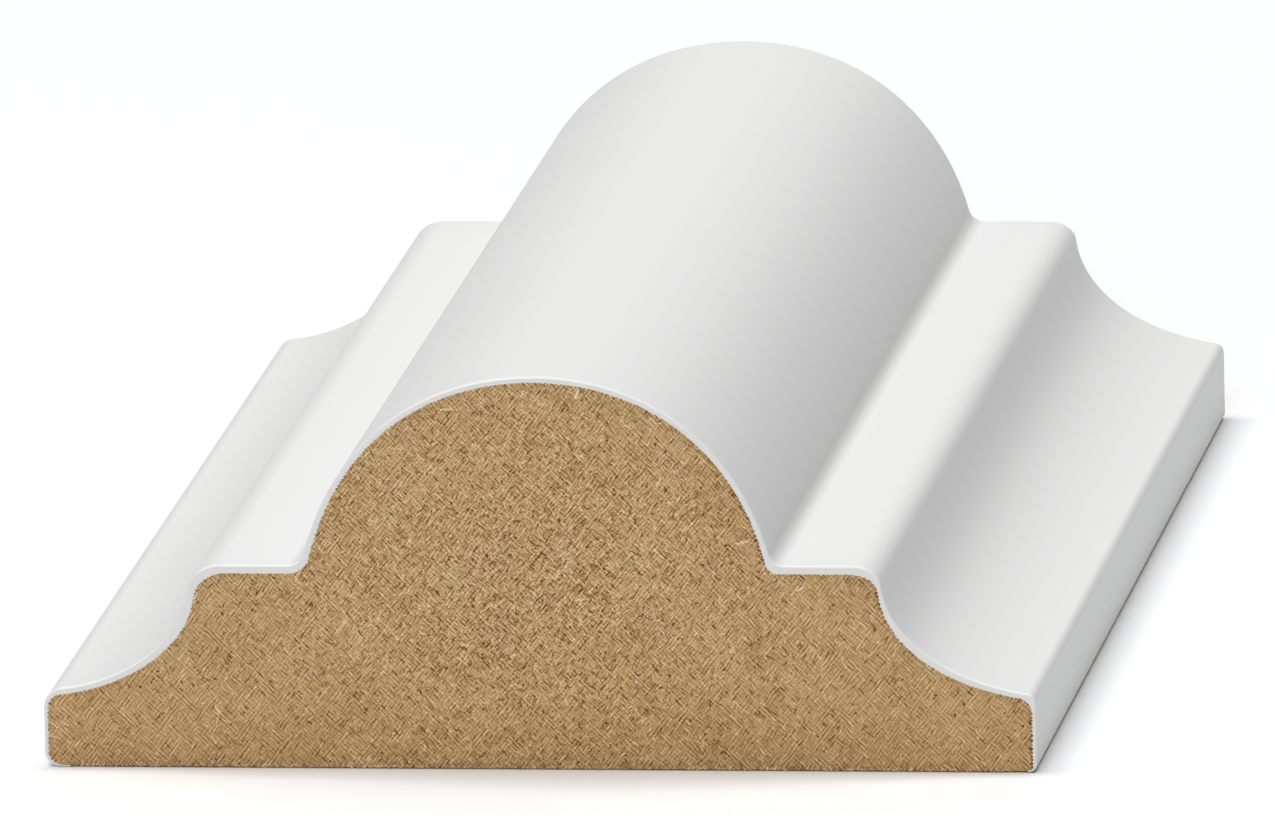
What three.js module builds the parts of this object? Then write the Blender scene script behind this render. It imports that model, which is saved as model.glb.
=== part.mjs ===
// A short, square-cut length of panel moulding: a half-round bead stands between two
// flats, and each flat falls through a hollow cove to a low upright edge.
// It is milled from fibreboard. A white coat covers its face and its two edges and laps
// under the back corners; the back and the two saw-cut ends are bare board.
//
// Units are millimetres. The back lies on Z = 0, the moulding runs along Y, and its
// section is symmetric about X = 0. The origin is the centre of the back.

import * as THREE from 'three';

// Driving dimensions of the whole moulding
const LENGTH = 82;
const WIDTH = 45;
const THICKNESS = 18; // back to crown of the bead, the thickness of the board
const EDGE_HEIGHT = 3.6; // top of the upright edge
const FLAT_HEIGHT = 9.3; // top of the two flats
const FLAT_REACH = 15.8; // centre line to the outer end of a flat

// Driving dimensions of the curves in its section
const BEAD_RADIUS = 10.9;
const ROOT_RADIUS = 0.8; // hollow between the bead and a flat
const SHOULDER_ACROSS = 1.45; // oval bend between a flat and its cove, along the flat
const SHOULDER_DOWN = 1.1; // and down from it
const EDGE_RADIUS = 0.9; // round between a cove and the upright edge
const BACK_RADIUS = 0.6; // round between the upright edge and the back
const COVE_START_FALL = THREE.MathUtils.degToRad(83); // slope where the cove leaves the flat
const COVE_END_FALL = THREE.MathUtils.degToRad(6.5); // slope where it reaches the edge
const COVE_FULLNESS = 0.6; // share of its end tangents that the cove keeps to

// Thickness of the white coat, which gathers on the flats and thins on the edges
const COAT = { bead: 0.26, flat: 0.38, cove: 0.25, edge: 0.15 };
const NO_COAT = { bead: 0, flat: 0, cove: 0, edge: 0 };

// Straight pieces that each curve is drawn with
const BEAD_PIECES = 28;
const COVE_PIECES = 16;
const ROUND_PIECES = 6;

const QUARTER_TURN = Math.PI / 2;

// A circular arc as points; clockwise arcs run with falling angle.
function arcPoints(centre, radius, startAngle, endAngle, pieces) {
  const clockwise = endAngle < startAngle;
  const arc = new THREE.EllipseCurve(centre.x, centre.y, radius, radius, startAngle, endAngle, clockwise);
  return arc.getPoints(pieces);
}

// A point on a circle at an angle from the horizontal.
function onCircle(centre, radius, angle) {
  return new THREE.Vector2(Math.cos(angle), Math.sin(angle)).multiplyScalar(radius).add(centre);
}

// The direction of a line that falls to the right at an angle below level.
function fallingDirection(fall) {
  return new THREE.Vector2(Math.cos(fall), -Math.sin(fall));
}

// The right half of the bead and the small hollow at its root, down to the flat.
function beadPoints(cover) {
  const flatHeight = FLAT_HEIGHT - cover.flat;
  const beadCentre = new THREE.Vector2(0, THICKNESS - BEAD_RADIUS);
  const beadRadius = BEAD_RADIUS - cover.bead;
  const rootRadius = ROOT_RADIUS + cover.bead;
  const reach = beadRadius + rootRadius;
  const rootAngle = Math.asin((flatHeight + rootRadius - beadCentre.y) / reach);
  const rootCentre = onCircle(beadCentre, reach, rootAngle);
  const bead = arcPoints(beadCentre, beadRadius, QUARTER_TURN, rootAngle, BEAD_PIECES);
  const root = arcPoints(rootCentre, rootRadius, Math.PI + rootAngle, 3 * QUARTER_TURN, ROUND_PIECES);
  return [...bead, ...root.slice(1)];
}

// The shoulder as points: an oval bend that leaves the flat level and turns down to the
// slope where the cove starts.
function shoulderPoints(centreX, centreY) {
  const turned = Math.atan((SHOULDER_ACROSS / SHOULDER_DOWN) * Math.tan(COVE_START_FALL));
  const bend = new THREE.EllipseCurve(
    centreX, centreY, SHOULDER_ACROSS, SHOULDER_DOWN, QUARTER_TURN, QUARTER_TURN - turned, true,
  );
  return bend.getPoints(ROUND_PIECES);
}

// The cove as points: one smooth hollow that keeps the slope it has at each end.
function covePoints(start, end) {
  const startDirection = fallingDirection(COVE_START_FALL);
  const endDirection = fallingDirection(COVE_END_FALL);
  const span = end.clone().sub(start);
  const turn = startDirection.cross(endDirection);
  const startTangent = span.cross(endDirection) / turn;
  const endTangent = startDirection.cross(span) / turn;
  const startHandle = start.clone().addScaledVector(startDirection, startTangent * COVE_FULLNESS);
  const endHandle = end.clone().addScaledVector(endDirection, -endTangent * COVE_FULLNESS);
  return new THREE.CubicBezierCurve(start, startHandle, endHandle, end).getPoints(COVE_PIECES);
}

// The right side from the outer end of the flat, down the cove and the edge, to the back.
function sidePoints(cover) {
  const halfWidth = WIDTH / 2 - cover.edge;
  const flatHeight = FLAT_HEIGHT - cover.flat;
  const coveReach = FLAT_REACH - cover.cove;
  const edgeHeight = EDGE_HEIGHT - cover.cove;
  const edgeRadius = EDGE_RADIUS - cover.cove;
  const edgeCentre = new THREE.Vector2(halfWidth - edgeRadius, edgeHeight - edgeRadius);
  const backCentre = new THREE.Vector2(halfWidth - BACK_RADIUS, BACK_RADIUS);
  const endAngle = QUARTER_TURN - COVE_END_FALL;
  const shoulder = shoulderPoints(coveReach - SHOULDER_ACROSS, flatHeight - SHOULDER_DOWN);
  const cove = covePoints(shoulder.at(-1), onCircle(edgeCentre, edgeRadius, endAngle));
  return [
    ...shoulder,
    ...cove.slice(1),
    ...arcPoints(edgeCentre, edgeRadius, endAngle, 0, ROUND_PIECES).slice(1),
    ...arcPoints(backCentre, BACK_RADIUS, 0, -QUARTER_TURN, ROUND_PIECES),
  ];
}

// The whole section under a cover of the given thickness, from the left end of the back
// over the crown to its right end.
function section(cover) {
  const right = [...beadPoints(cover), ...sidePoints(cover)];
  const left = right.slice(1).map((point) => new THREE.Vector2(-point.x, point.y));
  return [...left.reverse(), ...right];
}

// A named length of moulding with the given section and material.
function lengthOf(name, outline, material) {
  const geometry = new THREE.ExtrudeGeometry(new THREE.Shape(outline), {
    depth: LENGTH,
    bevelEnabled: false,
  });
  const mesh = new THREE.Mesh(geometry, material);
  mesh.name = name;
  return mesh;
}

const fibreboard = new THREE.MeshStandardMaterial({ color: 0xae8f66, roughness: 0.95, metalness: 0 });
const whitePaint = new THREE.MeshStandardMaterial({ color: 0xf1f1ef, roughness: 0.5, metalness: 0 });

const boardSection = section(COAT);
const faceSection = section(NO_COAT);
const coatSection = [...faceSection, ...boardSection.slice().reverse()];

// The sections are drawn upright and run along their own depth, so the pair is turned to
// bring height to Z and the depth to Y.
const moulding = new THREE.Group();
moulding.add(lengthOf('mdf_core', boardSection, fibreboard));
moulding.add(lengthOf('white_coat', coatSection, whitePaint));
moulding.rotation.x = QUARTER_TURN;
moulding.position.y = LENGTH / 2;

const part = new THREE.Group();
part.add(moulding);

export default part;
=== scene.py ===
"""Looks of a short, square-cut length of panel moulding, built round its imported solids.

The moulding is milled from fibreboard under a white coat. Its two saw-cut ends show bare
fibres, and its back is bare board. Lengths in the classes are millimetres in the part's own
frame, and become metres where a mesh, a lamp or the camera is made.
"""

import logging
import math
from dataclasses import dataclass
from enum import Enum
from typing import ClassVar

import bpy
import numpy as np
from mathutils import Matrix, Vector
from mathutils.geometry import delaunay_2d_cdt
from mathutils.kdtree import KDTree


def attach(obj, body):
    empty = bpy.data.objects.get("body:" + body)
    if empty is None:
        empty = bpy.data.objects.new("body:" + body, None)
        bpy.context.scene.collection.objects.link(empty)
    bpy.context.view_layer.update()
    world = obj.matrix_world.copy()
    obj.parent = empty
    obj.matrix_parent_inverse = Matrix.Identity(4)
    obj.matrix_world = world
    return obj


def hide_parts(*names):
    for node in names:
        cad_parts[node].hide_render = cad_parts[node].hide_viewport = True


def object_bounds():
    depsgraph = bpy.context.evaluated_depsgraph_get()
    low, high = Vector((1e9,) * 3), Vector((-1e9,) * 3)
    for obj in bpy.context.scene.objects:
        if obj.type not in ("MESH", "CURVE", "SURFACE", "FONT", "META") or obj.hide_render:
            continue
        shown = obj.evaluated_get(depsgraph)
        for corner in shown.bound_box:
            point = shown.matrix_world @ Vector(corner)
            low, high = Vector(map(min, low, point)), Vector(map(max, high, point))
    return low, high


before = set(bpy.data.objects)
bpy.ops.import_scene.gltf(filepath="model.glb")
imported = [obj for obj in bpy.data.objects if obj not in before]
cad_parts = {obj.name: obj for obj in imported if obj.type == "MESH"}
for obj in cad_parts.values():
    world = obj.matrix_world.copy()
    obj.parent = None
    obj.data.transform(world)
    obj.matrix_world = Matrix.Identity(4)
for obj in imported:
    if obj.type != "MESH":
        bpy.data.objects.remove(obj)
CAD_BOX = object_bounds()

MM = 0.001
# Distance between the lines of a Wave texture at a scale of 1
WAVE_PITCH = 0.314
LOG = logging.getLogger("panel_moulding")

Colour = tuple[float, float, float]


def linear(red: float, green: float, blue: float) -> Colour:
    """A colour given as 0 to 255 on screen, as the linear values that shaders use."""
    shares = (channel / 255 for channel in (red, green, blue))
    return tuple(c / 12.92 if c <= 0.04045 else ((c + 0.055) / 1.055) ** 2.4 for c in shares)


# Shader nodes


class Value:
    """A node's output; an operator on it adds a Math node, so 1 - mask works as it reads."""

    def __init__(self, tree: "ShaderTree", socket: bpy.types.NodeSocket) -> None:
        """Wrap one output socket of a tree."""
        self.tree = tree
        self.socket = socket

    def __add__(self, other: "Value | float") -> "Value":
        """This plus other."""
        return self.tree.math("ADD", self, other)

    def __radd__(self, other: float) -> "Value":
        """Other plus this."""
        return self.tree.math("ADD", other, self)

    def __sub__(self, other: "Value | float") -> "Value":
        """This minus other."""
        return self.tree.math("SUBTRACT", self, other)

    def __rsub__(self, other: float) -> "Value":
        """Other minus this."""
        return self.tree.math("SUBTRACT", other, self)

    def __mul__(self, other: "Value | float") -> "Value":
        """This times other."""
        return self.tree.math("MULTIPLY", self, other)

    def __gt__(self, other: float) -> "Value":
        """1 where this is greater than other, and 0 elsewhere."""
        return self.tree.math("GREATER_THAN", self, other)


Input = Value | float | tuple[float, ...]


class ShaderTree:
    """The node tree of one material."""

    def __init__(self, name: str) -> None:
        """Start a material with no nodes.

        Args:
            name: the material's name.
        """
        self.material = bpy.data.materials.new(name)
        self.material.use_nodes = True
        self.tree = self.material.node_tree
        self.tree.nodes.clear()

    def node(self, kind: str, settings: dict[str, object], inputs: dict[str, Input], output: str) -> Value:
        """Add a node.

        Args:
            kind: the node's type, without the ShaderNode in front.
            settings: its properties, set first; "stops" are a colour ramp's places and colours.
            inputs: values or links for its sockets, by identifier.
            output: identifier of the output to give back.

        Returns:
            That output.
        """
        node = self.tree.nodes.new("ShaderNode" + kind)
        for key, setting in settings.items():
            if key == "stops":
                self._set_stops(node.color_ramp.elements, setting)
            else:
                setattr(node, key, setting)
        sockets = {socket.identifier: socket for socket in node.inputs}
        for key, value in inputs.items():
            if isinstance(value, Value):
                self.tree.links.new(value.socket, sockets[key])
            elif sockets[key].type == "RGBA":
                sockets[key].default_value = (*value, 1.0)
            else:
                sockets[key].default_value = value
        return Value(self, next(socket for socket in node.outputs if socket.identifier == output))

    @staticmethod
    def _set_stops(elements: bpy.types.ColorRampElements, stops: list[tuple[float, Colour]]) -> None:
        """Give a new colour ramp, which has two stops, these stops.

        Args:
            elements: the ramp's own stops.
            stops: places and colours, from first to last.
        """
        for place, _ in stops[1:-1]:
            elements.new(place)
        for element, (place, colour) in zip(elements, stops):
            element.position = place
            element.color = (*colour, 1.0)

    def math(self, operation: str, first: Input, second: Input) -> Value:
        """Combine two values in a Math node."""
        return self.node("Math", {"operation": operation}, {"Value": first, "Value_001": second}, "Value")

    def vector(self, operation: str, first: Input, second: Input) -> Value:
        """Combine two vectors in a Vector Math node."""
        sockets = {"Vector": first, "Vector_001": second}
        return self.node("VectorMath", {"operation": operation}, sockets, "Vector")

    def mix(self, factor: Input, first: Input, second: Input, blend: str = "MIX") -> Value:
        """Mix two colours."""
        sockets = {"Factor_Float": factor, "A_Color": first, "B_Color": second}
        return self.node("Mix", {"data_type": "RGBA", "blend_type": blend}, sockets, "Result_Color")

    def ramp(self, value: Value, stops: list[tuple[float, Colour]]) -> Value:
        """Turn a value into a colour by a ramp."""
        return self.node("ValToRGB", {"stops": stops}, {"Fac": value}, "Color")

    def noise(self, place: Value, scale: float, detail: float, roughness: float = 0.5) -> Value:
        """Cloudy noise, about 0.5 on average."""
        sockets = {"Vector": place, "Scale": scale, "Detail": detail, "Roughness": roughness}
        return self.node("TexNoise", {"noise_dimensions": "3D"}, sockets, "Fac")

    def parts(self, place: Value) -> tuple[Value, Value, Value]:
        """The X, Y and Z of a vector."""
        node = self.node("SeparateXYZ", {}, {"Vector": place}, "X").socket.node
        return tuple(Value(self, socket) for socket in node.outputs)

    def kept(self, name: str) -> Value:
        """A value that is kept for each vertex of a piece."""
        return self.node("Attribute", {"attribute_name": name}, {}, "Fac")

    def turned(self, place: Value, angle: Input) -> Value:
        """Places turned back by an angle about Z."""
        settings = {"rotation_type": "Z_AXIS", "invert": True}
        return self.node("VectorRotate", settings, {"Vector": place, "Angle": angle}, "Vector")

    def millimetres(self) -> Value:
        """Places on the object, in millimetres."""
        return self.vector("MULTIPLY", self.node("TexCoord", {}, {}, "Object"), (1 / MM,) * 3)

    def bump(self, height: Value, distance: float, strength: float) -> Value:
        """The normal of a surface with a height over it, in millimetres of distance."""
        sockets = {"Height": height, "Distance": distance * MM, "Strength": strength}
        return self.node("Bump", {}, sockets, "Normal")

    def surface(
        self, colour: Input, roughness: Input, normal: Value, specular: float
    ) -> bpy.types.Material:
        """Finish the material as a plain, non-metal surface.

        Args:
            colour: its base colour.
            roughness: its roughness.
            normal: its normal.
            specular: strength of its reflections, of which 0.5 is usual.

        Returns:
            The finished material.
        """
        sockets = {
            "Base Color": colour,
            "Roughness": roughness,
            "Normal": normal,
            "Specular IOR Level": specular,
        }
        shader = self.node("BsdfPrincipled", {}, sockets, "BSDF")
        output = self.tree.nodes.new("ShaderNodeOutputMaterial")
        self.tree.links.new(shader.socket, output.inputs["Surface"])
        return self.material


# Finishes


@dataclass(frozen=True)
class SawnFibreboard:
    """Bare, saw-cut fibreboard: tan strokes at two leans, with dark gaps and pale slivers.

    The long and the short strokes are each the size of a patch, a stroke's length and its
    width. Strokes are level above their top. The weights are shares of the tone, and those at
    the sides are for the fine board there.
    """

    gap: Colour = linear(112, 70, 30)
    shade: Colour = linear(163, 126, 79)
    tan: Colour = linear(194, 161, 115)
    pale: Colour = linear(218, 189, 145)
    sliver: Colour = linear(244, 222, 185)
    rise: float = math.radians(52)
    fall: float = math.radians(-45)
    long_strokes: tuple[float, float, float] = (0.9, 0.42, 0.08)
    short_strokes: tuple[float, float, float] = (0.6, 0.22, 0.065)
    stroke_lean_spread: float = 0.3
    stroke_top: float = 0.56
    stroke_middle: float = 0.96
    stroke_weight: float = 0.9
    grain_scale: float = 13.0
    grain_weight: float = 0.7
    rough_at_sides: float = 0.45
    rough_in_middle: float = 0.9
    pitches: tuple[float, float] = (0.145, 0.19)
    waviness: float = 3.5
    weave_scale: float = 1.1
    weave_turn: tuple[float, float] = (0.4, 0.6)
    weave_at_sides: float = 0.21
    weave_lost_in_middle: float = 0.05
    mottle_scale: float = 0.28
    mottle_weight: float = 0.2
    relief: float = 0.015
    roughness: float = 0.92
    specular: float = 0.2

    def _strokes(self, tree: ShaderTree, place: Value, patch: float, length: float, width: float) -> Value:
        """Strokes that lie side by side in patches, each patch at a lean of its own.

        Args:
            tree: the material's node tree.
            place: places on the cut face, in millimetres, with Z flat.
            patch: size of a patch.
            length: length of a stroke.
            width: width of a stroke.

        Returns:
            A height, about 0.5 on average.
        """
        cell = {"Vector": place, "Scale": 1 / patch, "Randomness": 1.0}
        centre = tree.node("TexVoronoi", {"voronoi_dimensions": "2D"}, cell, "Position")
        chance = tree.node("TexWhiteNoise", {"noise_dimensions": "2D"}, {"Vector": centre}, "Color")
        first, second, _ = tree.parts(chance)
        stray = (second - 0.5) * self.stroke_lean_spread
        lean = self.rise + (first > 0.5) * (self.fall - self.rise) + stray
        local = tree.vector("SUBTRACT", place, centre)
        stretched = tree.vector("MULTIPLY", tree.turned(local, lean), (1 / length, 1 / width, 1.0))
        moved = tree.vector("MULTIPLY", chance, (40.0, 40.0, 40.0))
        return tree.noise(tree.vector("ADD", stretched, moved), 1.0, 1.0)

    def _lines(self, tree: ShaderTree, place: Value, lean: float) -> Value:
        """Fine wavy lines at one lean, in two pitches that beat.

        Args:
            tree: the material's node tree.
            place: places on the cut face, in millimetres, with Z flat.
            lean: angle of the lines.

        Returns:
            A height, about 0 on average.
        """
        turned = tree.turned(place, lean)
        settings = {"wave_type": "BANDS", "bands_direction": "Y"}
        waves = []
        for pitch in self.pitches:
            scale = WAVE_PITCH / pitch
            sockets = {"Vector": turned, "Scale": scale, "Distortion": self.waviness, "Detail": 1.0}
            waves.append(tree.node("TexWave", settings, sockets, "Fac"))
        return waves[0] + waves[1] - 1.0

    def material(self) -> bpy.types.Material:
        """Make the material.

        Returns:
            The material, with its nodes.
        """
        tree = ShaderTree("sawn_fibreboard")
        across, _, up = tree.parts(tree.millimetres())
        place = tree.node("CombineXYZ", {}, {"X": across, "Y": up, "Z": 0.0}, "Vector")
        tone = tree.kept("tone")
        long = self._strokes(tree, place, *self.long_strokes)
        short = self._strokes(tree, place, *self.short_strokes)
        fine = tree.math("MINIMUM", long, self.stroke_top) + tree.math("MINIMUM", short, self.stroke_top)
        patches = tree.noise(place, self.weave_scale, 1.0)
        limits = {"Value": patches, "From Min": self.weave_turn[0], "From Max": self.weave_turn[1]}
        share = tree.node("MapRange", {}, limits, "Result")
        rising_lines = self._lines(tree, place, self.rise)
        falling_lines = self._lines(tree, place, self.fall)
        weave = rising_lines * share + falling_lines * (1 - share)
        grain = tree.noise(place, self.grain_scale, 1.0)
        coarse = tree.kept("coarse")
        rough = (fine - self.stroke_middle) * self.stroke_weight + (grain - 0.5) * self.grain_weight
        rough = rough * (self.rough_at_sides + coarse * self.rough_in_middle)
        weave = weave * (self.weave_at_sides - coarse * self.weave_lost_in_middle)
        mottle = tree.noise(place, self.mottle_scale, 2.0)
        level = tone + rough + weave + (mottle - 0.5) * self.mottle_weight
        stops = [
            (0.0, self.gap),
            (0.28, self.shade),
            (0.5, self.tan),
            (0.75, self.pale),
            (1.0, self.sliver),
        ]
        normal = tree.bump(fine, self.relief, 0.5)
        return tree.surface(tree.ramp(level, stops), self.roughness, normal, self.specular)


@dataclass(frozen=True)
class PressedFibreboard:
    """The bare back of the board: pressed smooth, evenly tan, with faint short flecks."""

    tan: Colour = linear(194, 161, 119)
    fleck: Colour = linear(162, 127, 84)
    pale: Colour = linear(210, 181, 141)
    fleck_scales: tuple[float, float, float] = (3.2, 1.1, 1.0)
    fluff_scales: tuple[float, float, float] = (1.0, 3.4, 1.0)
    fleck_weight: float = 0.7
    cloud_scale: float = 0.16
    cloud_weight: float = 0.5
    relief: float = 0.02
    roughness: float = 0.8
    specular: float = 0.3

    def material(self) -> bpy.types.Material:
        """Make the material.

        Returns:
            The material, with its nodes.
        """
        tree = ShaderTree("pressed_fibreboard")
        place = tree.millimetres()
        flecks = tree.noise(tree.vector("MULTIPLY", place, self.fleck_scales), 1.0, 2.0)
        fluff = tree.noise(tree.vector("MULTIPLY", place, self.fluff_scales), 1.0, 2.0)
        cloud = tree.noise(place, self.cloud_scale, 3.0)
        level = 0.5 + (flecks - 0.5) * self.fleck_weight + (fluff - 0.5) * self.fleck_weight
        level = level + (cloud - 0.5) * self.cloud_weight
        colour = tree.ramp(level, [(0.2, self.fleck), (0.5, self.tan), (0.8, self.pale)])
        normal = tree.bump(flecks + fluff, self.relief, 0.4)
        return tree.surface(colour, self.roughness, normal, self.specular)


@dataclass(frozen=True)
class WhitePaint:
    """A smooth, satin white coat, with a painted highlight along its sawn arris, and painted shade over
    bare board showing through at the foot of one side.
    """

    white: Colour = (0.75, 0.75, 0.745)
    # painted highlight: a lighter white laid along the arris where the face looks up
    burnished: Colour = (0.88, 0.88, 0.875)
    # the bare board's colour as it looks in shade: board showing through the coat, and painted shade at the
    # foot of the right side
    thin: Colour = linear(146, 134, 114)
    cloud_scale: float = 0.12
    cloud_share: float = 0.03
    grain_scale: float = 3.5
    relief: float = 0.004
    roughness: float = 0.52
    roughness_spread: float = 0.08
    specular: float = 0.24

    def material(self) -> bpy.types.Material:
        """Make the material.

        Returns:
            The material, with its nodes.
        """
        tree = ShaderTree("white_paint")
        place = tree.millimetres()
        cloud = tree.noise(place, self.cloud_scale, 3.0)
        grain = tree.noise(place, self.grain_scale, 2.0)
        bright = tree.node("CombineXYZ", {}, {"X": cloud, "Y": cloud, "Z": cloud}, "Vector")
        colour = tree.mix(self.cloud_share, self.white, bright, "SOFT_LIGHT")
        # painted highlight: lighter white along the arris where it looks up
        burnish = tree.kept("burnish")
        colour = tree.mix(burnish, colour, self.burnished)
        # mixes in bare board in shade: painted shade towards the floor at the foot of the right side, and
        # board showing through where the coat turns under
        thinness = tree.kept("thinness")
        colour = tree.mix(thinness, colour, self.thin)
        roughness = self.roughness + (cloud - 0.5) * self.roughness_spread
        return tree.surface(colour, roughness, tree.bump(grain, self.relief, 0.5), self.specular)


@dataclass(frozen=True)
class StudioFloor:
    """A plain, pale, matt floor."""

    pale: Colour = (0.947, 0.956, 0.963)
    grain_scale: float = 0.5
    relief: float = 0.01

    def material(self) -> bpy.types.Material:
        """Make the material.

        Returns:
            The material, with its nodes.
        """
        tree = ShaderTree("studio_floor")
        grain = tree.noise(tree.millimetres(), self.grain_scale, 2.0)
        return tree.surface(self.pale, 1.0, tree.bump(grain, self.relief, 0.1), 0.0)


# Section of the moulding


@dataclass(frozen=True)
class Cover:
    """Thickness of the white coat over each part of the section."""

    bead: float = 0.0
    flat: float = 0.0
    cove: float = 0.0
    edge: float = 0.0
    back: float = 0.0


COAT = Cover(bead=0.26, flat=0.38, cove=0.25, edge=0.15, back=0.05)


def heading(angles: np.ndarray) -> np.ndarray:
    """Flat unit vectors at angles."""
    return np.column_stack([np.cos(angles), np.sin(angles)])


def to_left(ways: np.ndarray) -> np.ndarray:
    """Flat vectors turned a quarter to the left."""
    return np.column_stack([-ways[:, 1], ways[:, 0]])


def lattice(columns: np.ndarray, rows: np.ndarray) -> np.ndarray:
    """All the flat points of a grid, row by row."""
    return np.stack(np.meshgrid(columns, rows), axis=2).reshape(-1, 2)


def arc(
    centre: np.ndarray, radius: float | np.ndarray, start: float, end: float, steps: int
) -> np.ndarray:
    """Points of an arc from one angle to another, with one radius or a column of radii."""
    angles = np.linspace(start, end, steps + 1)
    return centre + radius * heading(angles)


def bend(top: np.ndarray, across: float, down: float, fall: float, steps: int) -> np.ndarray:
    """Points of an oval arc that starts level and turns down until it falls at an angle."""
    angles = np.linspace(0, math.atan2(across * math.sin(fall), down * math.cos(fall)), steps + 1)
    return top + np.column_stack([across * np.sin(angles), down * (np.cos(angles) - 1)])


def straight(start: np.ndarray, end: np.ndarray, steps: int) -> np.ndarray:
    """Points of a straight line."""
    return start + np.linspace(0, 1, steps + 1)[:, None] * (end - start)


def falling(fall: float) -> np.ndarray:
    """The direction of a line that falls to the right at an angle below level."""
    return np.array([math.cos(fall), -math.sin(fall)])


def cross(first: np.ndarray, second: np.ndarray) -> float:
    """The cross product of two flat vectors."""
    return float(first[0] * second[1] - first[1] * second[0])


@dataclass(frozen=True)
class Side:
    """Sizes of one side of the section, which differ a little from left to right.

    The haunch is how much fuller than round the bead is, half way down this side. The
    shoulder is an oval bend, so it has a size across and a size down. The board root and
    the board edge are radii of the board itself, under the coat. The coat across and the coat
    down are shares of the cove's usual cover, at its top and at its foot. The lap is how far
    the coat reaches in under the back.
    """

    flat_height: float
    flat_reach: float
    haunch: float
    root_radius: float
    board_root: float
    shoulder_across: float
    shoulder_down: float
    cove_fullness: float
    cove_end_fall: float
    coat_across: float
    coat_down: float
    edge_radius: float
    board_edge: float
    back_radius: float
    lap: float


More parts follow.
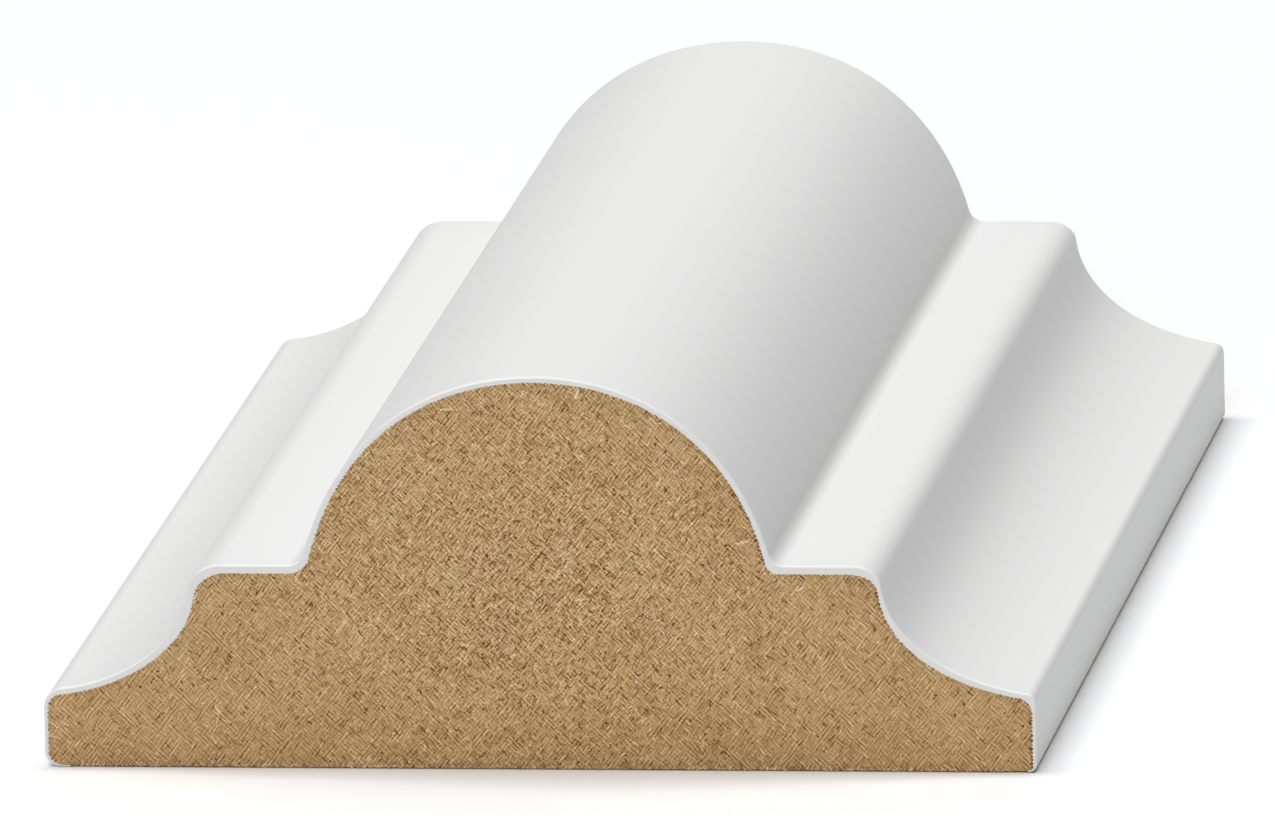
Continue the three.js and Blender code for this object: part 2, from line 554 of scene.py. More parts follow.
@dataclass(frozen=True)
class Section:
    """The section of the moulding: X across it and Z up from its back."""

    width: float
    thickness: float
    edge_height: float = 3.6
    bead_radius: float = 10.9
    left: Side = Side(
        flat_height=9.3,
        flat_reach=15.85,
        haunch=0.13,
        root_radius=0.85,
        board_root=1.0,
        shoulder_across=1.5,
        shoulder_down=1.2,
        cove_fullness=0.58,
        cove_end_fall=math.radians(6.5),
        coat_across=0.95,
        coat_down=1.2,
        edge_radius=0.9,
        board_edge=0.65,
        back_radius=0.7,
        lap=0.45,
    )
    right: Side = Side(
        flat_height=9.4,
        flat_reach=15.58,
        haunch=0.09,
        root_radius=0.75,
        board_root=0.6,
        shoulder_across=1.25,
        shoulder_down=0.92,
        cove_fullness=0.62,
        cove_end_fall=math.radians(9.5),
        coat_across=0.5,
        coat_down=0.75,
        edge_radius=0.45,
        board_edge=0.75,
        back_radius=0.28,
        lap=0.12,
    )
    cove_start_fall: float = math.radians(83)
    BEAD_STEPS: ClassVar[int] = 440
    ROOT_STEPS: ClassVar[int] = 28
    FLAT_STEPS: ClassVar[int] = 90
    SHOULDER_STEPS: ClassVar[int] = 64
    COVE_STEPS: ClassVar[int] = 280
    EDGE_STEPS: ClassVar[int] = 36
    SIDE_STEPS: ClassVar[int] = 72
    BACK_STEPS: ClassVar[int] = 24
    LAP_STEPS: ClassVar[int] = 10

    def _bead(self, cover: Cover, side: Side) -> list[np.ndarray]:
        """Half of the bead and the small hollow at its root, drawn as if at the right.

        Args:
            cover: thickness that the section is drawn in by.
            side: sizes of the side.

        Returns:
            The points of the bead, and those of the hollow.
        """
        centre = np.array([0.0, self.thickness - self.bead_radius])
        radius = self.bead_radius - cover.bead
        root_radius = side.board_root if cover.bead else side.root_radius
        rise = side.flat_height - cover.flat + root_radius - centre[1]
        angle = math.asin(rise / (radius + root_radius))
        root = arc(centre, radius + root_radius, angle, angle, 0)[0]
        swell = side.haunch * np.sin(np.linspace(0, math.pi, self.BEAD_STEPS + 1))[:, None] ** 2
        return [
            arc(centre, radius + swell, math.pi / 2, angle, self.BEAD_STEPS),
            arc(root, root_radius, math.pi + angle, 1.5 * math.pi, self.ROOT_STEPS),
        ]

    def _cove(self, start: np.ndarray, end: np.ndarray, side: Side) -> np.ndarray:
        """One smooth hollow that keeps the slope it has at each end.

        Args:
            start: where the shoulder ends.
            end: where the outer arris begins.
            side: sizes of the side.

        Returns:
            Its points.
        """
        first, last = falling(self.cove_start_fall), falling(side.cove_end_fall)
        span, turn = end - start, cross(first, last)
        near = start + first * cross(span, last) / turn * side.cove_fullness
        far = end - last * cross(first, span) / turn * side.cove_fullness
        t = np.linspace(0, 1, self.COVE_STEPS + 1)[:, None]
        return (1 - t) ** 3 * start + 3 * (1 - t) ** 2 * t * near + 3 * (1 - t) * t**2 * far + t**3 * end

    def _side(self, cover: Cover, side: Side) -> list[np.ndarray]:
        """One side, drawn as if at the right, from the outer end of the flat to the lap under the back.

        Args:
            cover: thickness that the section is drawn in by.
            side: sizes of the side.

        Returns:
            The points of each curve in turn.
        """
        half = self.width / 2 - cover.edge
        edge_radius = side.board_edge if cover.cove else side.edge_radius
        back_radius = side.back_radius - cover.back
        reach = side.flat_reach - cover.cove * side.coat_across - side.shoulder_across
        flat_end = np.array([reach, side.flat_height - cover.flat])
        edge = np.array([half - edge_radius, self.edge_height - cover.cove * side.coat_down - edge_radius])
        back = np.array([half - back_radius, side.back_radius])
        lap_end = np.array([self.width / 2 - side.back_radius - side.lap, cover.back])
        sizes = side.shoulder_across, side.shoulder_down
        shoulder = bend(flat_end, *sizes, self.cove_start_fall, self.SHOULDER_STEPS)
        edge_arc = arc(edge, edge_radius, math.pi / 2 - side.cove_end_fall, 0, self.EDGE_STEPS)
        back_arc = arc(back, back_radius, 0, -math.pi / 2, self.BACK_STEPS)
        return [
            shoulder,
            self._cove(shoulder[-1], edge_arc[0], side),
            edge_arc,
            straight(edge_arc[-1], back_arc[0], self.SIDE_STEPS),
            back_arc,
            straight(back_arc[-1], lap_end, self.LAP_STEPS),
        ]

    def _half(self, cover: Cover, side: Side) -> np.ndarray:
        """Half of the section, drawn as if at the right, from the crown to the lap under the back.

        Args:
            cover: thickness that the section is drawn in by.
            side: sizes of the side.

        Returns:
            Its points.
        """
        bead, outer = self._bead(cover, side), self._side(cover, side)
        curves = [*bead, straight(bead[-1][-1], outer[0][0], self.FLAT_STEPS), *outer]
        return np.concatenate([curves[0], *(curve[1:] for curve in curves[1:])])

    def outline(self, cover: Cover) -> np.ndarray:
        """Points of the section under a cover, from left lap to right lap, as many for every cover."""
        left, right = self._half(cover, self.left), self._half(cover, self.right)
        return np.concatenate([left[:0:-1] * (-1, 1), right])

    def holds(self, points: np.ndarray, margin: float) -> np.ndarray:
        """Which flat points lie inside the board.

        Args:
            points: the points.
            margin: least distance from the board's outline.

        Returns:
            True or False for each point.
        """
        rim = self.outline(COAT)
        rim = rim - outward(rim) * margin
        first, last = np.argmin(rim[:, 0]), np.argmax(rim[:, 0])
        upper = rim[first : last + 1]
        lower = np.concatenate([rim[first::-1], rim[:last:-1]])
        top = np.interp(points[:, 0], np.maximum.accumulate(upper[:, 0]), upper[:, 1], left=-1, right=-1)
        foot = np.interp(points[:, 0], np.maximum.accumulate(lower[:, 0]), lower[:, 1])
        return (points[:, 1] < top) & (points[:, 1] > foot)


def outward(outline: np.ndarray) -> np.ndarray:
    """Unit normals of a section's outline, away from the board."""
    along = np.gradient(outline, axis=0)
    return to_left(along / np.linalg.norm(along, axis=1)[:, None])


def travelled(outline: np.ndarray) -> np.ndarray:
    """Distance along an outline to each of its points."""
    steps = np.linalg.norm(np.diff(outline, axis=0), axis=1)
    return np.concatenate([[0.0], np.cumsum(steps)])


def placed(flat: np.ndarray, along: np.ndarray | float) -> np.ndarray:
    """Points of a section at a place along the moulding."""
    return np.column_stack([flat[:, 0], np.broadcast_to(along, len(flat)), flat[:, 1]])


def nearest(points: np.ndarray, seeds: np.ndarray) -> np.ndarray:
    """The seed that is nearest to each point.

    Args:
        points: flat points.
        seeds: flat points to choose from.

    Returns:
        The number of a seed for each point.
    """
    tree = KDTree(len(seeds))
    for number, seed in enumerate(seeds):
        tree.insert((*seed, 0.0), number)
    tree.balance()
    return np.array([tree.find((*point, 0.0))[1] for point in points])


# Meshes


class End(Enum):
    """The two saw-cut ends, by the way they face along the moulding."""

    NEAR = -1
    FAR = 1


def make_piece(name: str, points: np.ndarray, faces: list[list[int]], smooth: bool) -> bpy.types.Object:
    """Make an object from points in millimetres.

    Args:
        name: name of the object and its mesh.
        points: one row of X, Y, Z for each vertex.
        faces: vertex numbers of each face.
        smooth: whether its faces are shaded smooth.

    Returns:
        The object, linked to the scene.
    """
    mesh = bpy.data.meshes.new(name)
    mesh.from_pydata((points * MM).tolist(), [], faces)
    mesh.polygons.foreach_set("use_smooth", np.full(len(mesh.polygons), smooth))
    mesh.validate()
    piece = bpy.data.objects.new(name, mesh)
    bpy.context.scene.collection.objects.link(piece)
    return piece


def keep(piece: bpy.types.Object, name: str, values: np.ndarray) -> None:
    """Keep a value for each vertex under a name, which a finish reads."""
    piece.data.attributes.new(name, "FLOAT", "POINT").data.foreach_set("value", values.astype(np.float32))


# Middle of the loose part of the board and its reach, across and up
LOOSE_MIDDLE = (-0.5, 9.0)
LOOSE_REACH = (11.0, 9.0)
# Depth of the painted shade by the back of the board, where it stands on the floor, and how much darker it
# is
FLOOR_SHADE_DEPTH = 3.0
FLOOR_SHADE_DARKENING = 0.045


def coarseness(spots: np.ndarray) -> np.ndarray:
    """How coarse the board is at flat places.

    Args:
        spots: the places.

    Returns:
        1 in the loose middle of the board, near 0 at its two sides.
    """
    across = (spots[:, 0] - LOOSE_MIDDLE[0]) / LOOSE_REACH[0]
    up = (spots[:, 1] - LOOSE_MIDDLE[1]) / LOOSE_REACH[1]
    return np.exp(-(across**2) - up**2)


def floor_shade(spots: np.ndarray) -> np.ndarray:
    """How much darker the board is painted at flat places near its back, as shade by the floor."""
    return FLOOR_SHADE_DARKENING * np.exp(-((spots[:, 1] / FLOOR_SHADE_DEPTH) ** 2))


@dataclass(frozen=True)
class TornBorder:
    """The border of coat and board on a cut end, where fibre ends break into the coat.

    The breaks between fibre ends differ in width and depth by shares of the period and the depth.
    The level share is how much of the depth is left where the border runs level.
    """

    section: Section
    seed: int
    period: float = 0.2
    depth: float = 0.13
    break_widths: tuple[float, float] = (0.6, 1.4)
    break_depths: tuple[float, float] = (0.1, 1.0)
    spare_breaks: float = 1.2
    level_share: float = 0.45

    def _breaks(self, reach: float) -> tuple[np.ndarray, np.ndarray]:
        """Where one fibre end meets the next.

        Args:
            reach: length of the border.

        Returns:
            Places along the border, and the coat's depth at each.
        """
        generator = np.random.default_rng(self.seed)
        count = int(reach / self.period * self.spare_breaks)
        places = np.cumsum(generator.uniform(*self.break_widths, count) * self.period)
        return places, generator.uniform(*self.break_depths, count) * self.depth

    def overlap(self) -> np.ndarray:
        """How far the coat reaches in over the board.

        Returns:
            A depth for each point of the outline.
        """
        along = travelled(self.section.outline(COAT))
        places, depths = self._breaks(along[-1])
        after = np.clip(np.searchsorted(places, along), 1, len(places) - 1)
        share = (along - places[after - 1]) / (places[after] - places[after - 1])
        upright = np.abs(outward(self.section.outline(COAT))[:, 0])
        deep = self.level_share + (1 - self.level_share) * upright**2
        depth = depths[after] * (1 - np.sin(np.pi * np.clip(share, 0, 1))) * deep
        depth[: Section.LAP_STEPS] = 0.0
        depth[-Section.LAP_STEPS :] = 0.0
        return depth

    def tips(self) -> tuple[np.ndarray, np.ndarray]:
        """Where the fibre ends meet the coat.

        Returns:
            Flat places, and the way out of the board at each.
        """
        rim = self.section.outline(COAT)
        along = travelled(rim)
        places, _ = self._breaks(along[-1])
        middles = (places[1:] + places[:-1]) / 2
        laps = along[Section.LAP_STEPS], along[-Section.LAP_STEPS - 1]
        middles = middles[(middles > laps[0]) & (middles < laps[1])]
        spots = np.column_stack([np.interp(middles, along, rim[:, axis]) for axis in (0, 1)])
        normal = outward(rim)
        ways = np.column_stack([np.interp(middles, along, normal[:, axis]) for axis in (0, 1)])
        return spots, ways


@dataclass
class WhiteCoat:
    """The white coat: a thin shell over face and edges, with a torn border at each cut end.

    At a cut end it is tucked in behind the fibres, and its torn edge and lip lie a little deeper
    than the cut. The foot is the height below which the right side is coloured towards bare board
    in shade: painted shade towards the floor, and bare board where the coat turns under.
    """

    section: Section
    length: float
    arris: float = 0.09
    arris_share: float = 0.4
    tuck: float = 0.25
    torn_depth: float = 0.03
    lip: float = 0.02
    lip_depth: float = 0.008
    foot: float = 1.6
    foot_thinness: float = 0.2
    under_thinness: float = 1.6
    end_margin: float = 0.5
    stations: int = 12
    crease: float = math.radians(50)
    ARRIS_ROWS: ClassVar[int] = 6

    def _end_rows(
        self, outer: np.ndarray, inner: np.ndarray, end: End, border: TornBorder
    ) -> list[np.ndarray]:
        """Rows of points over one cut end, from the board outwards to the face.

        Args:
            outer: the face's outline.
            inner: the board's outline, point for point.
            end: which cut end.
            border: its torn border.

        Returns:
            Rows of X, Y, Z.
        """
        normal = outward(outer)
        thick = np.linalg.norm(outer - inner, axis=1)
        rounding = np.minimum(self.arris, self.arris_share * thick)
        torn = inner - outward(inner) * border.overlap()[:, None]
        rows = [
            (inner, self.tuck),
            (torn, self.torn_depth),
            (torn + normal * self.lip, self.lip_depth),
            (inner + normal * self.lip * 2, 0.0),
        ]
        for angle in np.linspace(0, math.pi / 2, self.ARRIS_ROWS):
            inset = rounding * (1 - math.sin(angle))
            rows.append((outer - normal * inset[:, None], rounding * (1 - math.cos(angle))))
        rows.append((outer, rounding + self.arris))
        return [placed(flat, end.value * (self.length / 2 - depth)) for flat, depth in rows]

    def _burnish(self, outer: np.ndarray, rows: int) -> np.ndarray:
        """How strongly each point carries the painted highlight: along the arris, where the face looks up.

        Args:
            outer: the face's outline.
            rows: number of rows over one cut end.

        Returns:
            A share for each point of each row.
        """
        upward = np.clip(outward(outer)[:, 1], 0, 1) ** 4
        bright = np.zeros((rows, len(outer)))
        first = rows - 1 - self.ARRIS_ROWS
        # the painted highlight sits on the arris rows of each cut end
        bright[first + 1 : -1] = upward
        return bright

    def _thinness(self, outer: np.ndarray, rows: int) -> np.ndarray:
        """How far each point is coloured as bare board in shade: painted shade towards the floor at the
        foot of the right side, and bare board where the coat turns under there.

        Args:
            outer: the face's outline.
            rows: number of rows over one cut end.

        Returns:
            A share for each point of each row.
        """
        # painted shade: darker towards the floor at the foot of the right side
        low = np.clip((self.foot - outer[:, 1]) / self.foot, 0, 1) ** 2 * self.foot_thinness
        # where the coat turns under, the board shows through, coloured as it looks in shade
        under = np.clip(-outward(outer)[:, 1] * self.under_thinness, 0, 1)
        thin = np.zeros((rows, len(outer)))
        right = outer[:, 0] > self.section.right.flat_reach
        thin[-self.ARRIS_ROWS :] = np.where(right, np.maximum(low, under), 0)
        return thin

    def build(self, finish: WhitePaint, borders: dict[End, TornBorder]) -> bpy.types.Object:
        """Make the coat and dress it.

        Args:
            finish: its paint.
            borders: the torn border of each cut end.

        Returns:
            The piece.
        """
        outer, inner = self.section.outline(Cover()), self.section.outline(COAT)
        near = self._end_rows(outer, inner, End.NEAR, borders[End.NEAR])
        far = self._end_rows(outer, inner, End.FAR, borders[End.FAR])
        last = self.length / 2 - self.end_margin
        middle = [placed(outer, along) for along in np.linspace(-last, last, self.stations)]
        rows = np.array(near + middle + far[::-1])
        count, columns = rows.shape[:2]
        first = np.arange(count)[:, None] * columns + np.arange(columns - 1)
        second = np.roll(np.arange(count), -1)[:, None] * columns + np.arange(columns - 1)
        faces = np.stack([first, first + 1, second + 1, second], axis=2).reshape(-1, 4).tolist()
        faces.append((np.arange(count) * columns).tolist())
        faces.append((np.arange(count)[::-1] * columns + columns - 1).tolist())
        piece = make_piece("painted_coat", rows.reshape(-1, 3), faces, True)
        piece.data.set_sharp_from_angle(angle=self.crease)
        # painted highlight along the arris, and bare board in shade with painted shade at the foot of the
        # right side
        painted_light_and_bare_board = {"burnish": self._burnish(outer, len(near)), "thinness": self._thinness(outer, len(near))}
        for name, end_rows in painted_light_and_bare_board.items():
            between = np.repeat(end_rows[-1:], len(middle), axis=0)
            keep(piece, name, np.concatenate([end_rows, between, end_rows[::-1]]).ravel())
        piece.data.materials.append(finish.material())
        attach(piece, "root")
        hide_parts("white_coat")
        return piece


@dataclass
class BoardCore:
    """The milled board under the coat, with slightly uneven saw-cut ends and a flat back.

    The spacing, the share of it between rows, the jitter and the rim margin are those of the
    points on a cut end.
    """

    section: Section
    length: float
    recess: float = 0.05
    unevenness: float = 0.012
    spacing: float = 0.24
    row_share: float = 0.87
    jitter: float = 0.06
    rim_margin: float = 0.12
    tone: float = 0.41
    tone_spread: float = 0.02
    seed: int = 21
    RIM_STRIDE: ClassVar[int] = 4
    BACK_STEPS: ClassVar[int] = 90

    def _rim(self) -> np.ndarray:
        """The outline of a cut end, once round from the left lap over the crown.

        Returns:
            Its points.
        """
        upper = self.section.outline(COAT)[:: self.RIM_STRIDE]
        lower = straight(upper[-1], upper[0], self.BACK_STEPS)[1:-1]
        return np.concatenate([upper, lower])

    def _grid(self, generator: np.random.Generator) -> np.ndarray:
        """Scattered points inside the rim, clear of it.

        Args:
            generator: the board's random numbers.

        Returns:
            Flat points.
        """
        half = self.section.width / 2
        columns = np.arange(-half, half, self.spacing)
        levels = np.arange(0.0, self.section.thickness, self.spacing * self.row_share)
        shift = np.arange(len(levels)) % 2 * self.spacing / 2
        points = np.stack([columns + shift[:, None], np.repeat(levels[:, None], len(columns), 1)], axis=2)
        points = points.reshape(-1, 2)
        points = points + generator.uniform(-self.jitter, self.jitter, points.shape)
        return points[self.section.holds(points, self.rim_margin)]

    def build(self, sawn: bpy.types.Material, pressed: PressedFibreboard) -> bpy.types.Object:
        """Make the board and dress it.

        Args:
            sawn: the look of its cut ends.
            pressed: the finish of its back and its covered face.

        Returns:
            The piece.
        """
        generator = np.random.default_rng(self.seed)
        rim = self._rim()
        flat = np.concatenate([rim, self._grid(generator)])
        around = list(range(len(rim)))
        triangles = np.array(delaunay_2d_cdt([Vector(p) for p in flat], [], [around[::-1]], 1, 1e-7)[2])
        sheets = []
        for end in End:
            depth = self.recess + generator.uniform(-1, 1, len(flat)) * self.unevenness
            depth[: len(rim)] = self.recess
            sheets.append(placed(flat, end.value * (self.length / 2 - depth)))
        low, high = np.array(around), np.roll(around, -1)
        sides = np.column_stack([low, high, high + len(flat), low + len(flat)])
        faces = [*triangles.tolist(), *(triangles[:, ::-1] + len(flat)).tolist(), *sides.tolist()]
        piece = make_piece("sawn_board", np.concatenate(sheets), faces, False)
        # painted shade darkens the cut ends towards the floor
        tone = generator.normal(self.tone, self.tone_spread, len(flat)) - floor_shade(flat)
        keep(piece, "tone", np.tile(tone, 2))
        keep(piece, "coarse", np.tile(coarseness(flat), 2))
        piece.data.materials.append(sawn)
        piece.data.materials.append(pressed.material())
        slots = np.repeat([0, 1], [2 * len(triangles), len(sides)])
        piece.data.polygons.foreach_set("material_index", slots)
        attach(piece, "root")
        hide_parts("mdf_core")
        return piece


@dataclass
class Slivers:
    """Low, pointed slivers that lie on a cut end, with one entry of each array for each sliver."""

    spot: np.ndarray
    lean: np.ndarray
    reach: np.ndarray
    breadth: np.ndarray
    lift: np.ndarray
    height: np.ndarray
    tone: np.ndarray

    def within(self, section: Section) -> "Slivers":
        """Those whose two tips are inside the board.

        Args:
            section: the moulding's section.

        Returns:
            The slivers that are kept.
        """
        along = heading(self.lean) * self.reach[:, None]
        kept = section.holds(self.spot + along, 0.0) & section.holds(self.spot - along, 0.0)
        return Slivers(**{key: values[kept] for key, values in vars(self).items()})

    @staticmethod
    def joined(groups: list["Slivers"]) -> "Slivers":
        """All the slivers of several groups."""
        return Slivers(**{key: np.concatenate([vars(g)[key] for g in groups]) for key in vars(groups[0])})

    def corners(self) -> tuple[np.ndarray, np.ndarray]:
        """The six corners of each sliver: four round its foot, and two along its ridge.

        Returns:
            Their flat places, and their heights over the cut end.
        """
        along = np.array([-0.85, 0.85, 1.0, -1.0, -0.8, 0.8])
        aside = np.array([-1.0, -1.0, 1.0, 1.0, 0.0, 0.0])
        way = heading(self.lean)
        side = to_left(way)
        flat = self.spot[:, None] + way[:, None] * (self.reach[:, None] * along)[:, :, None]
        flat = flat + side[:, None] * (self.breadth[:, None] * aside)[:, :, None]
        high = np.repeat(self.lift[:, None], 6, axis=1)
        high[:, 4:] += self.height[:, None]
        return flat, high


@dataclass(frozen=True)
class Threads:
    """Threads that run side by side within each patch of a cut end.

    The breadth is a half width, and the lift is the height of a thread's foot over the cut. The
    reach, a half length, is a least, a usual and a greatest. Tones stray further where it is coarse.
    """

    patch: float
    spacing: float
    breadth: float
    lift: float
    tone: float
    reach: tuple[float, float, float] = (0.1, 0.22, 0.38)
    breadth_shares: tuple[float, float] = (0.85, 1.15)
    height: tuple[float, float] = (0.016, 0.034)
    spread: float = 0.04
    tone_spread: float = 0.02
    coarse_tone_spread: float = 0.05


@dataclass(frozen=True)
class Strays:
    """Fibres that lie among the threads, singly or a few side by side in a row.

    There would be about as many rows if all of the board were as coarse as its middle, and the
    least is the share of them that is kept where it is finest. A pair is a least and a greatest.
    The reach is a half length, and the spread is how far the leans stray.
    """

    rows: int
    tone: tuple[float, float]
    reach: tuple[float, float]
    breadth: float
    spread: float
    count: int = 1
    least: float = 0.25
    spacing: float = 0.18
    unevenness: float = 0.03
    breadth_shares: tuple[float, float] = (0.75, 1.25)
    lift: tuple[float, float] = (0.0, 0.012)
    height: tuple[float, float] = (0.014, 0.03)


@dataclass(frozen=True)
class RimEnds:
    """Fibre ends along the rim of a cut end, with pairs that are a least and a greatest.

    The offset is how far their tips are from the rim, and the spread is how far the leans stray.
    """

    offset: tuple[float, float]
    reach: tuple[float, float]
    breadth: tuple[float, float]
    tone: tuple[float, float]
    spread: float
    lift: float = 0.012
    height: tuple[float, float] = (0.012, 0.034)


@dataclass
class SawnFibres:
    """Fibres of one cut end: threads side by side in patches, strays, dark specks and torn ends.

    The share filled is how much of a box round the section is board. Threads are laid past a
    patch by its overlap, and cut to the patch. They start a stop apart, and slip along in
    millimetres and aside in spacings. Torn ends are painted darker where the rim faces right,
    as shade in the notches there.
    """

    section: Section
    length: float
    end: End
    border: TornBorder
    seed: int
    threads: tuple[Threads, ...] = (
        Threads(patch=1.2, spacing=0.125, breadth=0.046, lift=-0.02, tone=0.545),
        Threads(patch=1.0, spacing=0.16, breadth=0.04, lift=-0.008, tone=0.585),
    )
    strays: tuple[Strays, ...] = (
        Strays(rows=1200, tone=(0.45, 0.75), reach=(0.06, 0.18), breadth=0.04, spread=1.2),
        Strays(rows=3300, tone=(-0.14, 0.22), reach=(0.06, 0.22), breadth=0.021, spread=0.12),
        Strays(rows=300, tone=(0.0, 0.25), reach=(0.05, 0.2), breadth=0.02, spread=0.12, count=3),
        Strays(rows=4600, tone=(0.75, 1.0), reach=(0.06, 0.22), breadth=0.021, spread=0.15),
        Strays(rows=620, tone=(-0.35, -0.1), reach=(0.03, 0.09), breadth=0.042, spread=0.5, least=0.1),
        Strays(rows=60, tone=(0.66, 0.84), reach=(0.15, 0.36), breadth=0.06, spread=0.6, least=0.0),
    )
    torn: RimEnds = RimEnds(
        offset=(0.0, 0.03), reach=(0.05, 0.12), breadth=(0.035, 0.06), tone=(0.25, 0.65), spread=0.35
    )
    foot: RimEnds = RimEnds(
        offset=(0.0, 0.05), reach=(0.05, 0.13), breadth=(0.02, 0.045), tone=(0.2, 0.8), spread=0.25
    )
    recess: float = 0.05
    rise: float = math.radians(51)
    fall: float = math.radians(-45)
    patch_lean_spread: float = 0.09
    patch_overlap: float = 1.2
    stop: float = 0.42
    slip_along: float = 0.22
    slip_aside: float = 0.08
    filled: float = 0.64
    right_notch_shade: float = 0.35
    foot_margin: float = 1.2
    foot_spacing: float = 0.06
    foot_jitter: float = 0.05

    def __post_init__(self) -> None:
        """Start the random numbers that all its fibres share."""
        self.generator = np.random.default_rng(self.seed)

    def _leans(self, count: int, spread: float) -> np.ndarray:
        """Angles about one of the two main leans."""
        chosen = np.where(self.generator.random(count) < 0.5, self.rise, self.fall)
        return chosen + self.generator.normal(0, spread, count)

    def _scatter(self, count: int) -> np.ndarray:
        """Random places on the board, one in each cell of a grid.

        Args:
            count: about how many.

        Returns:
            Flat places.
        """
        half = self.section.width / 2
        cell = math.sqrt(self.section.width * self.section.thickness * self.filled / count)
        columns, rows = np.arange(-half, half, cell), np.arange(0, self.section.thickness, cell)
        spots = lattice(columns, rows)
        spots = spots + self.generator.uniform(0, cell, spots.shape)
        return spots[self.section.holds(spots, 0.0)]

    def _lay_threads(self, kind: Threads) -> Slivers:
        """Lay the threads of one kind.

        Args:
            kind: their sizes and tone.

        Returns:
            The threads.
        """
        draw = self.generator
        half, patch, spacing = self.section.width / 2, kind.patch, kind.spacing
        columns, rows = int(2 * half / patch) + 1, int(self.section.thickness / patch) + 1
        seeds = lattice(np.arange(columns), np.arange(rows)) * patch
        seeds = seeds + draw.uniform(0, patch, seeds.shape) - (half, 0)
        leans = self._leans(len(seeds), self.patch_lean_spread)
        reach = patch * self.patch_overlap
        starts = lattice(np.arange(-reach, reach, self.stop), np.arange(-reach, reach, spacing))
        shift = draw.uniform(-0.5, 0.5, (len(seeds), 1, 2)) * spacing
        local = np.repeat(starts[None], len(seeds), axis=0) + shift
        local = local + draw.uniform(-1, 1, local.shape) * (self.slip_along, spacing * self.slip_aside)
        way = heading(leans)
        spots = seeds[:, None] + way[:, None] * local[:, :, :1] + to_left(way)[:, None] * local[:, :, 1:]
        spots = spots.reshape(-1, 2)
        owner = np.repeat(np.arange(len(seeds)), len(starts))
        inside = self.section.holds(spots, 0.0)
        spots, owner = spots[inside], owner[inside]
        own = nearest(spots, seeds) == owner
        spots, owner = spots[own], owner[own]
        count = len(spots)
        tone_spread = kind.tone_spread + kind.coarse_tone_spread * coarseness(spots)
        return Slivers(
            spot=spots,
            lean=leans[owner] + draw.normal(0, kind.spread, count),
            reach=draw.triangular(*kind.reach, count),
            breadth=draw.uniform(*kind.breadth_shares, count) * kind.breadth,
            lift=np.full(count, kind.lift),
            height=draw.uniform(*kind.height, count),
            # painted shade darkens the threads towards the floor
            tone=draw.normal(kind.tone, tone_spread) - floor_shade(spots),
        )

    def _lay_strays(self, kind: Strays) -> Slivers:
        """Lay the strays of one kind.

        Args:
            kind: their number, sizes and tones.

        Returns:
            The strays.
        """
        draw = self.generator
        spots = self._scatter(kind.rows)
        spots = spots[draw.random(len(spots)) < kind.least + (1 - kind.least) * coarseness(spots)]
        lean = np.repeat(self._leans(len(spots), kind.spread), kind.count)
        aside = np.tile(np.arange(kind.count), len(spots)) * kind.spacing
        uneven = draw.uniform(-kind.unevenness, kind.unevenness, (len(lean), 2)) * (kind.count > 1)
        spots = np.repeat(spots, kind.count, axis=0) + uneven
        spots = spots + to_left(heading(lean)) * aside[:, None]
        count = len(spots)
        return Slivers(
            spot=spots,
            lean=lean,
            reach=draw.uniform(*kind.reach, count),
            breadth=draw.uniform(*kind.breadth_shares, count) * kind.breadth,
            lift=draw.uniform(*kind.lift, count),
            height=draw.uniform(*kind.height, count),
            tone=draw.uniform(*kind.tone, count),
        )

    def _lay_ends(self, kind: RimEnds, spots: np.ndarray, lean: np.ndarray, reach: np.ndarray) -> Slivers:
        """Lay fibre ends along the rim.

        Args:
            kind: their sizes and tones.
            spots: flat places of their middles.
            lean: an angle for each.
            reach: a half length for each.

        Returns:
            The fibre ends.
        """
        draw, count = self.generator, len(spots)
        return Slivers(
            spot=spots,
            lean=lean,
            reach=reach,
            breadth=draw.uniform(*kind.breadth, count),
            lift=np.full(count, kind.lift),
            height=draw.uniform(*kind.height, count),
            tone=draw.uniform(*kind.tone, count),
        )

    def _torn_ends(self) -> Slivers:
        """Dark fibre ends that break into the coat along the border.

        Returns:
            The fibre ends.
        """
        draw, kind = self.generator, self.torn
        spots, ways = self.border.tips()
        count = len(spots)
        reach = draw.uniform(*kind.reach, count)
        spots = spots - ways * (reach - draw.uniform(*kind.offset, count))[:, None]
        lean = np.arctan2(ways[:, 1], ways[:, 0]) + draw.normal(0, kind.spread, count)
        ends = self._lay_ends(kind, spots, lean, reach)
        # painted shade: torn ends darker where the rim faces right, as shade in the notches there
        ends.tone -= self.right_notch_shade * np.clip(ways[:, 0], 0, 1) ** 6
        return ends

    def _foot_ends(self) -> Slivers:
        """Fibre ends that hang over the bottom of the cut end and make it ragged.

        Returns:
            The fibre ends.
        """
        draw, kind = self.generator, self.foot
        half = self.section.width / 2 - self.foot_margin
        across = np.arange(-half, half, self.foot_spacing)
        count = len(across)
        reach = draw.uniform(*kind.reach, count)
        lean = self._leans(count, kind.spread)
        up = draw.uniform(*kind.offset, count) + reach * np.abs(np.sin(lean))
        across = across + draw.uniform(-self.foot_jitter, self.foot_jitter, count)
        return self._lay_ends(kind, np.column_stack([across, up]), lean, reach)

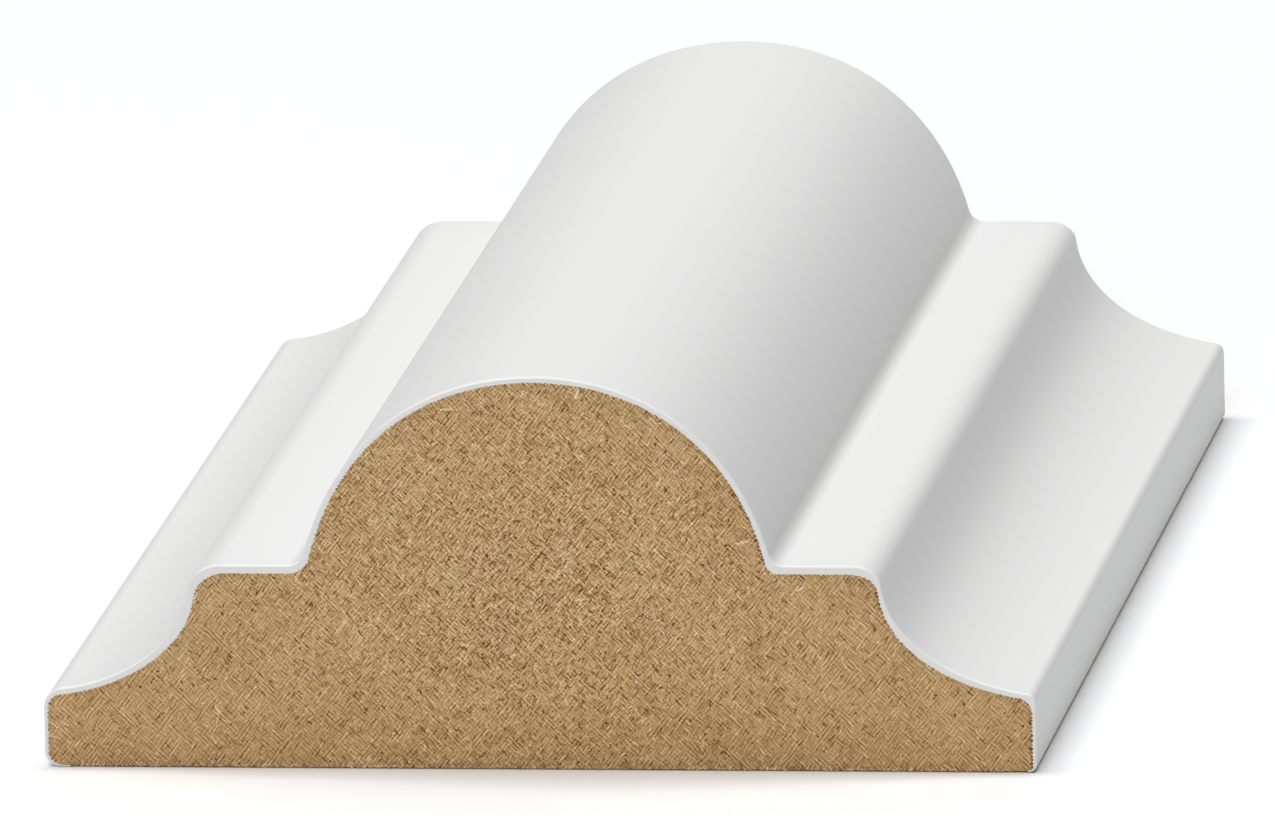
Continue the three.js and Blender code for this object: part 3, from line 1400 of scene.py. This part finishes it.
    @staticmethod
    def _map(piece: bpy.types.Object, count: int) -> None:
        """Give each sliver a square of its own in a map that its colours can be baked to.

        Args:
            piece: the fibres of a cut end.
            count: number of slivers.
        """
        side = math.ceil(math.sqrt(count))
        corner = np.array([(0.1, 0.1), (0.9, 0.1), (0.9, 0.9), (0.1, 0.9), (0.25, 0.5), (0.75, 0.5)])
        squares = np.column_stack([np.arange(count) % side, np.arange(count) // side])
        places = ((squares[:, None] + corner) / side).reshape(-1, 2)
        loops = np.zeros(len(piece.data.loops), dtype=np.int32)
        piece.data.loops.foreach_get("vertex_index", loops)
        piece.data.uv_layers.new(name="OFBake").data.foreach_set("uv", places[loops].ravel())

    def build(self, finish: bpy.types.Material) -> bpy.types.Object:
        """Make the fibres and dress them.

        Args:
            finish: their look.

        Returns:
            The piece.
        """
        groups = [self._lay_threads(kind) for kind in self.threads]
        groups += [self._lay_strays(kind) for kind in self.strays]
        inside = [group.within(self.section) for group in groups]
        slivers = Slivers.joined([*inside, self._torn_ends(), self._foot_ends()])
        flat, high = slivers.corners()
        along = self.end.value * (self.length / 2 - self.recess + high)
        points = np.stack([flat[:, :, 0], along, flat[:, :, 1]], axis=2).reshape(-1, 3)
        quads = np.array([(0, 1, 5, 4), (2, 3, 4, 5), (3, 2, 1, 0)])
        triangles = np.array([(1, 2, 5), (3, 0, 4)])
        if self.end is End.FAR:
            quads, triangles = quads[:, ::-1], triangles[:, ::-1]
        starts = np.arange(len(flat))[:, None, None] * 6
        faces = [*(starts + quads).reshape(-1, 4).tolist(), *(starts + triangles).reshape(-1, 3).tolist()]
        piece = make_piece(f"{self.end.name.lower()}_end_fibres", points, faces, False)
        keep(piece, "tone", np.repeat(slivers.tone, 6))
        keep(piece, "coarse", np.repeat(coarseness(slivers.spot), 6))
        self._map(piece, len(flat))
        piece.data.materials.append(finish)
        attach(piece, "root")
        return piece


# Studio


@dataclass(frozen=True)
class Softbox:
    """A square lamp aimed at the moulding, unseen by the camera."""

    name: str
    place: tuple[float, float, float]
    size: float
    watts: float

    def build(self) -> None:
        """Make the lamp."""
        light = bpy.data.lights.new(self.name, "AREA")
        light.shape = "SQUARE"
        light.size = self.size * MM
        light.energy = self.watts
        lamp = bpy.data.objects.new(self.name, light)
        lamp.location = Vector(self.place) * MM
        lamp.rotation_euler = (-lamp.location).to_track_quat("-Z", "Y").to_euler()
        lamp.visible_camera = False
        bpy.context.scene.collection.objects.link(lamp)


@dataclass
class Studio:
    """A pale floor under even light, brightest from above and the left."""

    ambient: float = 0.21
    floor_reach: float = 6000.0
    floor_gap: float = 0.03
    lamps: tuple[Softbox, ...] = (
        Softbox("overhead_softbox", (-259, 0, 966), 500, 5.15),
        Softbox("front_softbox", (0, -906, 423), 500, 3.0),
        Softbox("right_softbox", (183, 183, 966), 500, 2.5),
        Softbox("back_softbox", (0, 906, 423), 500, 1.1),
    )

    def build(self, finish: StudioFloor) -> None:
        """Make the floor, the lamps and the even light.

        Args:
            finish: the floor's finish.
        """
        around = np.array([(-1, -1), (1, -1), (1, 1), (-1, 1)]) * self.floor_reach
        corners = np.column_stack([around, np.full(4, -self.floor_gap)])
        floor = make_piece("studio_floor", corners, [[0, 1, 2, 3]], False)
        floor.data.materials.append(finish.material())
        for lamp in self.lamps:
            lamp.build()
        world = bpy.data.worlds.new("studio_world")
        world.use_nodes = True
        world.node_tree.nodes["Background"].inputs["Color"].default_value = (1.0, 1.0, 1.0, 1.0)
        world.node_tree.nodes["Background"].inputs["Strength"].default_value = self.ambient
        bpy.context.scene.world = world
        bpy.context.scene.view_settings.view_transform = "Standard"


@dataclass(frozen=True)
class Viewpoint:
    """The photograph's view, as turns about the moulding and a place to aim at.

    The aim is given across and up the picture from the foot of the near end's middle.
    """

    azimuth: float = math.radians(7.045)
    elevation: float = math.radians(11.152)
    roll: float = math.radians(-1.071)
    distance: float = 1640.0
    aim_across: float = 4.384
    aim_up: float = 16.270
    lens: float = 1028.1
    sensor: float = 36.0

    def build(self, length: float) -> None:
        """Make the camera and give it to the scene.

        Args:
            length: the moulding's length.
        """
        turn = Matrix.Rotation(self.azimuth, 3, "Z") @ Matrix.Rotation(math.pi / 2 - self.elevation, 3, "X")
        turn = turn @ Matrix.Rotation(self.roll, 3, "Z")
        across, up, back = turn.col
        foot = Vector((0, -length / 2, 0))
        data = bpy.data.cameras.new("photo_camera")
        data.lens = self.lens
        data.sensor_width = self.sensor
        camera = bpy.data.objects.new("photo_camera", data)
        place = foot + across * self.aim_across + up * self.aim_up + back * self.distance
        camera.matrix_world = Matrix.Translation(place * MM) @ turn.to_4x4()
        bpy.context.scene.collection.objects.link(camera)
        bpy.context.scene.camera = camera


def main() -> None:
    """Build the pieces in order."""
    logging.basicConfig(level=logging.INFO, format="%(name)s: %(message)s")
    low, high = (corner / MM for corner in CAD_BOX)
    section = Section(width=high.x - low.x, thickness=high.z - low.z)
    length = high.y - low.y
    borders = {End.NEAR: TornBorder(section, 11), End.FAR: TornBorder(section, 12)}
    sawn = SawnFibreboard().material()
    pieces = [
        WhiteCoat(section, length).build(WhitePaint(), borders),
        BoardCore(section, length).build(sawn, PressedFibreboard()),
    ]
    for end, seed in ((End.NEAR, 31), (End.FAR, 32)):
        pieces.append(SawnFibres(section, length, end, borders[end], seed).build(sawn))
    for piece in pieces:
        LOG.info("%s: %d faces", piece.name, len(piece.data.polygons))
    Studio().build(StudioFloor())
    Viewpoint().build(length)


if __name__ == "__main__":
    main()
